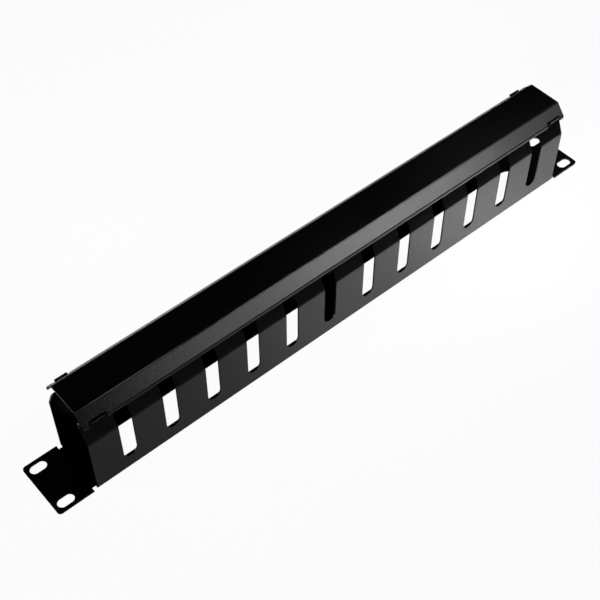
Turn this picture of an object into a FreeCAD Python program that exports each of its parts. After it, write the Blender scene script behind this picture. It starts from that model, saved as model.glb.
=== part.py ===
"""Horizontal cable manager for a 19-inch rack: a channel of fingers and its lift-off cover.

Millimetres. It lies on its back plate: X runs along the rack's width, Y across its height, and Z from
the back plate's rear face out to the front. The origin is the centre of that rear face.
"""
import FreeCAD
import Part

import math
import os

# Rack fixing
PANEL_WIDTH = 482.6
PANEL_HEIGHT = 43.8
EAR_WIDTH = 29.3
HOLE_FROM_END = 8.75
HOLE_FROM_EDGE = 6.025
EAR_SLOT_WIDTH = 7.0
EAR_SLOT_LENGTH = 12.0
EAR_CORNER_RADIUS = 2.5
RELIEF_WIDTH = 3.0
RELIEF_DEPTH = 3.2

# Sheet, and the hollow side of its bends
SHEET = 1.2
BEND_RADIUS = 0.8
LEAN_RADIUS = 4.0

# Fingers
WALL_SETBACK = 0.3
LEAN_BELOW_LIP = 14.7
FINGER_LEAN = 24.0
FINGER_TIP_RADIUS = 2.0
END_FINGER_WIDTH = 22.15

# Cable slots, in two groups about the middle
SLOTS_PER_GROUP = 6
SLOT_WIDTH = 10.4
MIDDLE_PITCH = 35.3
SLOT_FLOOR = 12.0

# Openings in the back plate, and how far their middle line lies off the plate's
OPENING_HEIGHT = 21.6
OPENING_OFFSET = -2.0
BRIDGE_WIDTH = 22.0
OPENING_END_MARGIN = 14.4

# Cover
COVER_DEPTH = 74.0
COVER_SETBACK = 1.1
COVER_END_GAP = 0.5
SLOPE_INSET = 7.6
SLOPE_DROP = 8.6
LIP_HEIGHT = 2.4

# Hooks on the end fingers, and the cover's notches over them
HOOK_WIDTH = 9.0
HOOK_RISE = 1.8
TIP_DROP = 2.6
NOTCH_SIDE_GAP = 2.0
NOTCH_SEAT_GAP = 0.1

# How far a cutting tool reaches past what it cuts
OVERRUN = 5.0

# Sizes that follow from those above
HOLE_SPACING_X = PANEL_WIDTH - 2 * HOLE_FROM_END
HOLE_SPACING_Y = PANEL_HEIGHT - 2 * HOLE_FROM_EDGE
CHANNEL_LENGTH = PANEL_WIDTH - 2 * EAR_WIDTH
CHANNEL_HEIGHT = PANEL_HEIGHT - 2 * WALL_SETBACK
LAST_SLOT = CHANNEL_LENGTH / 2 - END_FINGER_WIDTH - SLOT_WIDTH / 2
SLOT_PITCH = (LAST_SLOT - MIDDLE_PITCH / 2) / (SLOTS_PER_GROUP - 1)
COVER_LENGTH = CHANNEL_LENGTH - 2 * COVER_END_GAP
COVER_HEIGHT = CHANNEL_HEIGHT - 2 * COVER_SETBACK
LIP_TOP = COVER_DEPTH - SLOPE_DROP
LIP_BOTTOM = LIP_TOP - LIP_HEIGHT
WALL_DEPTH = LIP_BOTTOM - LEAN_BELOW_LIP
HOOK_TOP = LIP_TOP + HOOK_RISE
HOOK_CENTRE = (CHANNEL_LENGTH - END_FINGER_WIDTH) / 2
TIP_DEPTH = HOOK_TOP - TIP_DROP


def unit(vector):
    """The vector at length one."""
    result = FreeCAD.Vector(vector)
    result.normalize()
    return result


def rounded_run(points, radii):
    """Straight edges along the points, with each inner point rounded to its radius."""
    edges = []
    start = points[0]
    for before, corner, after, radius in zip(points, points[1:], points[2:], radii):
        arriving = unit(corner - before)
        leaving = unit(after - corner)
        half_turn = arriving.getAngle(leaving) / 2
        tangent = radius * math.tan(half_turn)
        nearest = corner + unit(leaving - arriving) * (radius / math.cos(half_turn) - radius)
        arc_end = corner + leaving * tangent
        arc_start = corner - arriving * tangent
        edges.append(Part.LineSegment(start, arc_start).toShape())
        edges.append(Part.Arc(arc_start, nearest, arc_end).toShape())
        start = arc_end
    edges.append(Part.LineSegment(start, points[-1]).toShape())
    return edges


def folded_sheet(outline, hollow_radii, middle, length):
    """A folded sheet, length long about X = middle, from the (y, z) outline of one of its faces.

    The other face lies one thickness to the left of the outline's run. Each bend has its radius on the
    hollow side, and that plus the thickness on the full side.
    """
    face = [FreeCAD.Vector(middle - length / 2, y, z) for y, z in outline]
    runs = [unit(b - a) for a, b in zip(face, face[1:])]
    lefts = [FreeCAD.Vector(0, -run.z, run.y) for run in runs]
    other = [face[0] + lefts[0] * SHEET]
    face_radii = []
    other_radii = []
    for i, radius in enumerate(hollow_radii):
        share = SHEET / (1 + lefts[i].dot(lefts[i + 1]))
        other.append(face[i + 1] + (lefts[i] + lefts[i + 1]) * share)
        turns_left = lefts[i + 1].dot(runs[i]) < 0
        face_radii.append(radius + SHEET if turns_left else radius)
        other_radii.append(radius if turns_left else radius + SHEET)
    other.append(face[-1] + lefts[-1] * SHEET)
    edges = rounded_run(face, face_radii)
    edges.append(Part.LineSegment(face[-1], other[-1]).toShape())
    edges += rounded_run(other[::-1], other_radii[::-1])
    edges.append(Part.LineSegment(other[0], face[0]).toShape())
    return Part.Face(Part.Wire(edges)).extrude(FreeCAD.Vector(length, 0, 0))


def box(centre_x, width, y_range, z_range):
    """A box centred on an X, between two Y and two Z."""
    corner = FreeCAD.Vector(centre_x - width / 2, y_range[0], z_range[0])
    return Part.makeBox(width, y_range[1] - y_range[0], z_range[1] - z_range[0], corner)


def mirrored(shape, x, y):
    """The shape's mirror image through the origin, across X or Y."""
    return shape.mirror(FreeCAD.Vector(0, 0, 0), FreeCAD.Vector(x, y, 0))


def obround_tool(centre_x, centre_y, length, width):
    """Cuts a hole with round ends, its length along X, through the back plate."""
    straight = length - width
    bottom = -OVERRUN
    top = SHEET + OVERRUN
    tool = box(centre_x, straight, (centre_y - width / 2, centre_y + width / 2), (bottom, top))
    for side in (-1, 1):
        foot = FreeCAD.Vector(centre_x + side * straight / 2, centre_y, bottom)
        tool = tool.fuse(Part.makeCylinder(width / 2, top - bottom, foot))
    return tool


def face_y(depth):
    """Y of a leaning finger's outer face, on the +Y side."""
    return CHANNEL_HEIGHT / 2 - (depth - WALL_DEPTH) * math.tan(math.radians(FINGER_LEAN))


def slot_centres():
    """X of each cable slot: two groups of one pitch, apart by the middle pitch."""
    steps = [MIDDLE_PITCH / 2 + i * SLOT_PITCH for i in range(SLOTS_PER_GROUP)]
    return [-x for x in reversed(steps)] + steps


def slot_tool(centre_x):
    """Cuts one slot through both rows of fingers: a round floor, and a flare that rounds the tips."""
    half = SLOT_WIDTH / 2
    flare = half + FINGER_TIP_RADIUS
    shoulder = TIP_DEPTH - FINGER_TIP_RADIUS
    reach = CHANNEL_HEIGHT / 2 + OVERRUN
    inset = FINGER_TIP_RADIUS * (1 - math.sqrt(0.5))

    def at(x, z):
        return FreeCAD.Vector(centre_x + x, -reach, z)

    edges = [Part.Arc(at(-half, SLOT_FLOOR + half), at(0, SLOT_FLOOR), at(half, SLOT_FLOOR + half))]
    edges.append(Part.LineSegment(at(half, SLOT_FLOOR + half), at(half, shoulder)))
    edges.append(Part.Arc(at(half, shoulder), at(half + inset, TIP_DEPTH - inset), at(flare, TIP_DEPTH)))
    edges.append(Part.LineSegment(at(flare, TIP_DEPTH), at(flare, TIP_DEPTH + OVERRUN)))
    edges.append(Part.LineSegment(at(flare, TIP_DEPTH + OVERRUN), at(-flare, TIP_DEPTH + OVERRUN)))
    edges.append(Part.LineSegment(at(-flare, TIP_DEPTH + OVERRUN), at(-flare, TIP_DEPTH)))
    edges.append(Part.Arc(at(-flare, TIP_DEPTH), at(-half - inset, TIP_DEPTH - inset), at(-half, shoulder)))
    edges.append(Part.LineSegment(at(-half, shoulder), at(-half, SLOT_FLOOR + half)))
    outline = Part.Wire([edge.toShape() for edge in edges])
    return Part.Face(outline).extrude(FreeCAD.Vector(0, 2 * reach, 0))


def ear():
    """The ear at +X: rounded outer corners, relief notches beside the walls, and two rack slots."""
    inner = CHANNEL_LENGTH / 2
    half_height = PANEL_HEIGHT / 2
    plate = box(inner + EAR_WIDTH / 2, EAR_WIDTH, (-half_height, half_height), (0, SHEET))
    outer_corners = [
        edge for edge in plate.Edges
        if edge.BoundBox.ZLength > SHEET / 2 and edge.CenterOfMass.x > inner + EAR_WIDTH / 2
    ]
    plate = plate.makeFillet(EAR_CORNER_RADIUS, outer_corners)
    relief = box(
        inner + RELIEF_WIDTH / 2, RELIEF_WIDTH,
        (half_height - RELIEF_DEPTH, half_height + OVERRUN), (-OVERRUN, SHEET + OVERRUN),
    )
    slot = obround_tool(HOLE_SPACING_X / 2, HOLE_SPACING_Y / 2, EAR_SLOT_LENGTH, EAR_SLOT_WIDTH)
    tools = [relief, slot]
    return plate.cut(tools + [mirrored(tool, 0, 1) for tool in tools])


def hook():
    """The hook at +X +Y: a strip of the end finger, run on past its tip and turned out to a flat seat."""
    root = TIP_DEPTH - 2 * FINGER_TIP_RADIUS
    seat = HOOK_TOP - SHEET
    outline = [(face_y(root), root), (face_y(seat), seat), (COVER_HEIGHT / 2, seat)]
    return folded_sheet(outline, [BEND_RADIUS], HOOK_CENTRE, HOOK_WIDTH)


def base_channel():
    """Back plate with ears and openings, two rows of fingers, and four hooks, all one folded sheet."""
    half_height = CHANNEL_HEIGHT / 2
    side = [(half_height, 0), (half_height, WALL_DEPTH), (face_y(TIP_DEPTH), TIP_DEPTH)]
    outline = [(-y, z) for y, z in reversed(side)] + side
    radii = [LEAN_RADIUS, BEND_RADIUS, BEND_RADIUS, LEAN_RADIUS]
    channel = folded_sheet(outline, radii, 0, CHANNEL_LENGTH)

    beside_ends = (CHANNEL_LENGTH + SLOT_WIDTH) / 2
    slots = [slot_tool(x) for x in [-beside_ends] + slot_centres() + [beside_ends]]
    channel = channel.cut(slots)

    opening_length = (CHANNEL_LENGTH - BRIDGE_WIDTH) / 2 - OPENING_END_MARGIN
    opening_centre = (BRIDGE_WIDTH + opening_length) / 2
    opening = obround_tool(opening_centre, OPENING_OFFSET, opening_length, OPENING_HEIGHT)
    channel = channel.cut([opening, mirrored(opening, 1, 0)])

    pair = [hook(), mirrored(hook(), 0, 1)]
    end = [ear()] + pair
    return channel.fuse(end + [mirrored(piece, 1, 0) for piece in end]).removeSplitter()


def snap_cover():
    """Flat front, sloping sides and short lips, notched from below to sit over the hooks."""
    half_height = COVER_HEIGHT / 2
    side = [(half_height, LIP_BOTTOM), (half_height, LIP_TOP), (half_height - SLOPE_INSET, COVER_DEPTH)]
    outline = side + [(-y, z) for y, z in reversed(side)]
    cover = folded_sheet(outline, [BEND_RADIUS] * 4, 0, COVER_LENGTH)
    reach = half_height + OVERRUN
    notches = [
        box(
            end * HOOK_CENTRE, HOOK_WIDTH + 2 * NOTCH_SIDE_GAP,
            (-reach, reach), (LIP_BOTTOM - OVERRUN, HOOK_TOP + NOTCH_SEAT_GAP),
        )
        for end in (-1, 1)
    ]
    return cover.cut(notches)


os.makedirs("parts", exist_ok=True)
for name, shape in (("base_channel", base_channel()), ("snap_cover", snap_cover())):
    solid = shape.Solids[0]
    print(name, len(shape.Solids), solid.isValid(), round(solid.Volume), solid.BoundBox)
    solid.exportStep("parts/" + name + ".step")
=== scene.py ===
"""Horizontal cable manager for a 19-inch rack, dressed for a studio picture.

Metres. It lies on its back plate: X along the rack's width, Y across its height, Z out of its front.
"""

import math

import bmesh
import bpy
import numpy as np
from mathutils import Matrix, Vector


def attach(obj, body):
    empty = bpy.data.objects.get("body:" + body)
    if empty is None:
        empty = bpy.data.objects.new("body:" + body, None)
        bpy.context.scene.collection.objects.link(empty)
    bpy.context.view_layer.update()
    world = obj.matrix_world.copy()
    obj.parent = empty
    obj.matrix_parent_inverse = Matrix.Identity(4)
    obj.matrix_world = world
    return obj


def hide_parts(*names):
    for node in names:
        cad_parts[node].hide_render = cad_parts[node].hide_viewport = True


MM = 0.001

# Folded sheets
WELD = 0.001 * MM
FLAT_WITHIN = math.radians(0.5)
BEND_STEP = math.radians(34)
EDGE_ROUND = 0.28 * MM
EDGE_STEPS = 3
FACE_WEIGHT = 80

# Powder coat: how wide its pebbles, waves and patches of gloss are, its blacks, gloss and relief
PEBBLE = 1.3 * MM
WAVE = 9 * MM
PATCH = 60 * MM
DEEP_BLACK = (0.0008, 0.0008, 0.0009, 1)
RAISED_BLACK = (0.0018, 0.0018, 0.0019, 1)
GLOSSY_ROUGHNESS = 0.20
DULL_ROUGHNESS = 0.24
COAT_IOR = 1.7
WAVE_SHARE = 0.25
RELIEF_STRENGTH = 0.8
RELIEF_DEPTH = 0.075 * MM
NOISE_LOW = 0.3
NOISE_HIGH = 0.7
SEED_STEP = Vector((0.37, 0.11, 0.23))
PEBBLE_DETAIL = 2.0
WAVE_DETAIL = 3.0
PATCH_DETAIL = 4.0

# Camera, near the photograph's angle, with its picture taken as 600 x 600. Of several that fit about as
# well, it is one from which the back plate's bridge fills the sixth slot.
CAMERA_AZIMUTH = -40.5
CAMERA_ELEVATION = 50.5
CAMERA_DISTANCE = 0.8283
CAMERA_AIM = Vector((-0.0263, 0.0, 0.0211))
CAMERA_LENS = 72.0
SENSOR = 36.0

# Floor and room: the floor's paint, how much of what the camera sees of it is plain white, and the grey
# that the room has for all but the camera
FLOOR_SIZE = 6.0
FLOOR_SHADE = 0.8
FLOOR_WHITE_SHARE = 0.96
ROOM_SHADE = 0.005

# Rows of softboxes that light the floor before the near wall and behind the far one: each row's place
# along Y, the place on the floor that it points at, and each softbox's place along X and its power
FLOOR_ROWS = (
    ("near", -0.048, -0.048, ((0.27, 0.050), (0.14, 0.083), (0.01, 0.031), (-0.12, 0.007))),
    ("far", 0.0, 0.170, ((0.24, 0.040), (0.08, 0.040), (-0.08, 0.040), (-0.24, 0.040))),
)
FLOOR_LAMP_HEIGHT = 0.27
FLOOR_LAMP_SIZE = (0.08, 0.08)
FLOOR_LAMP_SPREAD = 46

# Softboxes round the object: azimuth, elevation, distance, how far above the cover they point, size
# and power. They point high, so that less of their light falls on the floor beside the object.
COVER_CENTRE = Vector((0, 0, 0.07))
SIDE_LAMP_SPREAD = 40
SIDE_LAMPS = (
    ("front_softbox", 34.5, 23.5, 1.2, 0.25, (0.30, 0.20), 0.072),
    ("wide_front_softbox", 32.0, 23.5, 1.5, 0.25, (1.00, 0.35), 0.115),
    ("front_left_softbox", 18.0, 26.0, 1.2, 0.25, (0.30, 0.20), 0.010),
    ("back_softbox", 182.0, 20.0, 1.3, 0.30, (0.60, 0.30), 0.14),
    ("left_softbox", -98.0, 9.0, 1.2, 0.25, (1.20, 0.35), 0.40),
    ("edge_softbox", -126.0, 14.0, 1.0, 0.10, (0.30, 0.30), 0.13),
    ("bend_line_softbox", 50.0, 46.0, 1.2, 0.30, (0.80, 0.06), 0.35),
)


def around(azimuth, elevation, distance, centre=Vector((0, 0, 0))):
    """The point at a distance from the centre; azimuth 0 is on the -Y side and 90 on the +X side."""
    a = math.radians(azimuth)
    e = math.radians(elevation)
    return centre + distance * Vector((math.sin(a) * math.cos(e), -math.cos(a) * math.cos(e), math.sin(e)))


def aim(thing, place, target):
    """Puts a lamp or camera at a place and turns it to look at the target."""
    thing.location = place
    thing.rotation_mode = "QUATERNION"
    thing.rotation_quaternion = (target - place).to_track_quat("-Z", "Y")


def nodes_of(material):
    """The material's node tree, emptied, and its output."""
    material.use_nodes = True
    tree = material.node_tree
    tree.nodes.clear()
    return tree, tree.nodes.new("ShaderNodeOutputMaterial")


def powder_coat(name, seed):
    """Satin black powder coat: a fine pebbled skin over slow waves, with a faint drift in its gloss."""
    material = bpy.data.materials.new(name)
    tree, output = nodes_of(material)
    new, link = tree.nodes.new, tree.links.new
    place = new("ShaderNodeTexCoord")
    shift = new("ShaderNodeMapping")
    shift.inputs["Location"].default_value = seed * SEED_STEP
    link(place.outputs["Object"], shift.inputs["Vector"])

    def noise(size, detail):
        node = new("ShaderNodeTexNoise")
        node.inputs["Scale"].default_value = 1 / size
        node.inputs["Detail"].default_value = detail
        link(shift.outputs["Vector"], node.inputs["Vector"])
        return node.outputs["Fac"]

    def ranged(value, low, high):
        node = new("ShaderNodeMapRange")
        node.inputs["From Min"].default_value = NOISE_LOW
        node.inputs["From Max"].default_value = NOISE_HIGH
        node.inputs["To Min"].default_value = low
        node.inputs["To Max"].default_value = high
        link(value, node.inputs["Value"])
        return node.outputs["Result"]

    pebble = noise(PEBBLE, PEBBLE_DETAIL)
    waves = noise(WAVE, WAVE_DETAIL)
    patches = noise(PATCH, PATCH_DETAIL)
    shader = new("ShaderNodeBsdfPrincipled")
    tint = new("ShaderNodeMix")
    tint.data_type = "RGBA"
    tint.inputs["A"].default_value = DEEP_BLACK
    tint.inputs["B"].default_value = RAISED_BLACK
    link(ranged(pebble, 0, 1), tint.inputs["Factor"])
    link(tint.outputs["Result"], shader.inputs["Base Color"])
    link(ranged(patches, GLOSSY_ROUGHNESS, DULL_ROUGHNESS), shader.inputs["Roughness"])
    shader.inputs["IOR"].default_value = COAT_IOR

    rise = new("ShaderNodeMath")
    rise.operation = "MULTIPLY_ADD"
    rise.inputs[1].default_value = WAVE_SHARE
    link(waves, rise.inputs[0])
    link(pebble, rise.inputs[2])
    bump = new("ShaderNodeBump")
    bump.inputs["Strength"].default_value = RELIEF_STRENGTH
    bump.inputs["Distance"].default_value = RELIEF_DEPTH
    link(rise.outputs["Value"], bump.inputs["Height"])
    link(bump.outputs["Normal"], shader.inputs["Normal"])
    link(shader.outputs["BSDF"], output.inputs["Surface"])
    return material


def coated_sheet(node, body, material):
    """A copy of a folded sheet with its cut edges eased, as a coat of powder leaves them.

    Triangles that share a plane are joined, each edge that turns more than a bend's step is rounded,
    and a corner's shading normal is the mean of its faces weighted by their area, so that flats stay
    flat and bends shade as round.
    """
    shape = bmesh.new()
    shape.from_mesh(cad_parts[node].data)
    bmesh.ops.remove_doubles(shape, verts=shape.verts, dist=WELD)
    bmesh.ops.dissolve_limit(shape, angle_limit=FLAT_WITHIN, verts=shape.verts, edges=shape.edges)
    mesh = bpy.data.meshes.new(node + "_coated")
    shape.to_mesh(mesh)
    shape.free()
    mesh.shade_smooth()
    mesh.set_sharp_from_angle(angle=BEND_STEP)
    mesh.materials.append(material)
    piece = bpy.data.objects.new(node + "_coated", mesh)
    bpy.context.scene.collection.objects.link(piece)
    edges = piece.modifiers.new("edges", "BEVEL")
    edges.width = EDGE_ROUND
    edges.segments = EDGE_STEPS
    edges.limit_method = "ANGLE"
    edges.angle_limit = BEND_STEP
    edges.use_clamp_overlap = True
    edges.harden_normals = True
    shading = piece.modifiers.new("shading", "WEIGHTED_NORMAL")
    shading.mode = "FACE_AREA"
    shading.weight = FACE_WEIGHT
    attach(piece, body)
    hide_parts(node)
    return piece


def softbox(name, place, target, size, power, spread):
    """A flat lamp of the given size in metres and power in watts, with its spread in degrees."""
    lamp = bpy.data.lights.new(name, "AREA")
    lamp.shape = "RECTANGLE"
    lamp.size, lamp.size_y = size
    lamp.energy = power
    lamp.spread = math.radians(spread)
    thing = bpy.data.objects.new(name, lamp)
    bpy.context.scene.collection.objects.link(thing)
    aim(thing, place, target)
    return thing


def pale_floor():
    """A wide pale floor, near white to the camera. Too little of its own light is kept to show a shadow."""
    corner = FLOOR_SIZE / 2 * np.array([(-1, -1, 0), (1, -1, 0), (1, 1, 0), (-1, 1, 0)])
    mesh = bpy.data.meshes.new("floor")
    mesh.from_pydata(corner.tolist(), [], [(0, 1, 2, 3)])
    floor = bpy.data.objects.new("floor", mesh)
    bpy.context.scene.collection.objects.link(floor)
    material = bpy.data.materials.new("pale_floor")
    tree, output = nodes_of(material)
    new, link = tree.nodes.new, tree.links.new
    paint = new("ShaderNodeBsdfDiffuse")
    paint.inputs["Color"].default_value = (FLOOR_SHADE, FLOOR_SHADE, FLOOR_SHADE, 1)
    glow = new("ShaderNodeEmission")
    glow.inputs["Color"].default_value = (1, 1, 1, 1)
    path = new("ShaderNodeLightPath")
    share = new("ShaderNodeMath")
    share.operation = "MULTIPLY"
    share.inputs[1].default_value = FLOOR_WHITE_SHARE
    link(path.outputs["Is Camera Ray"], share.inputs[0])
    mix = new("ShaderNodeMixShader")
    link(share.outputs["Value"], mix.inputs["Fac"])
    link(paint.outputs["BSDF"], mix.inputs[1])
    link(glow.outputs["Emission"], mix.inputs[2])
    link(mix.outputs["Shader"], output.inputs["Surface"])
    mesh.materials.append(material)


def studio_world():
    """White to the camera, and a dim grey room to everything else."""
    world = bpy.data.worlds.new("studio")
    bpy.context.scene.world = world
    world.use_nodes = True
    tree = world.node_tree
    tree.nodes.clear()
    new, link = tree.nodes.new, tree.links.new
    output = new("ShaderNodeOutputWorld")
    room = new("ShaderNodeBackground")
    room.inputs["Color"].default_value = (ROOM_SHADE, ROOM_SHADE, ROOM_SHADE, 1)
    white = new("ShaderNodeBackground")
    white.inputs["Color"].default_value = (1, 1, 1, 1)
    path = new("ShaderNodeLightPath")
    mix = new("ShaderNodeMixShader")
    link(path.outputs["Is Camera Ray"], mix.inputs["Fac"])
    link(room.outputs["Background"], mix.inputs[1])
    link(white.outputs["Background"], mix.inputs[2])
    link(mix.outputs["Shader"], output.inputs["Surface"])


def picture_camera():
    """The camera, level, near the photograph's angle."""
    data = bpy.data.cameras.new("camera")
    data.lens = CAMERA_LENS
    data.sensor_width = SENSOR
    camera = bpy.data.objects.new("camera", data)
    bpy.context.scene.collection.objects.link(camera)
    aim(camera, around(CAMERA_AZIMUTH, CAMERA_ELEVATION, CAMERA_DISTANCE, CAMERA_AIM), CAMERA_AIM)
    bpy.context.scene.camera = camera


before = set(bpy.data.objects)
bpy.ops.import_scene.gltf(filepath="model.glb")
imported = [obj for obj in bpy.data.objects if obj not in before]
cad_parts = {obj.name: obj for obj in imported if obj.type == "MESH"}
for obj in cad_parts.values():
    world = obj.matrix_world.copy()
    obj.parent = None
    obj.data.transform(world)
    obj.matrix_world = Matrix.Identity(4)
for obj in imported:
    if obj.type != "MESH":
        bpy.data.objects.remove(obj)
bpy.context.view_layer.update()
bpy.context.scene.view_settings.view_transform = "Standard"

picture_camera()
pale_floor()
studio_world()
coated_sheet("base_channel", "channel", powder_coat("channel_powder_coat", 1))
coated_sheet("snap_cover", "cover", powder_coat("cover_powder_coat", 2))
for row, y, floor_y, lamps in FLOOR_ROWS:
    for number, (x, power) in enumerate(lamps, 1):
        above = Vector((x, y, FLOOR_LAMP_HEIGHT))
        below = Vector((x, floor_y, 0))
        softbox(f"{row}_floor_softbox_{number}", above, below, FLOOR_LAMP_SIZE, power, FLOOR_LAMP_SPREAD)
for name, azimuth, elevation, distance, lift, size, power in SIDE_LAMPS:
    target = COVER_CENTRE + Vector((0, 0, lift))
    softbox(name, around(azimuth, elevation, distance, COVER_CENTRE), target, size, power, SIDE_LAMP_SPREAD)
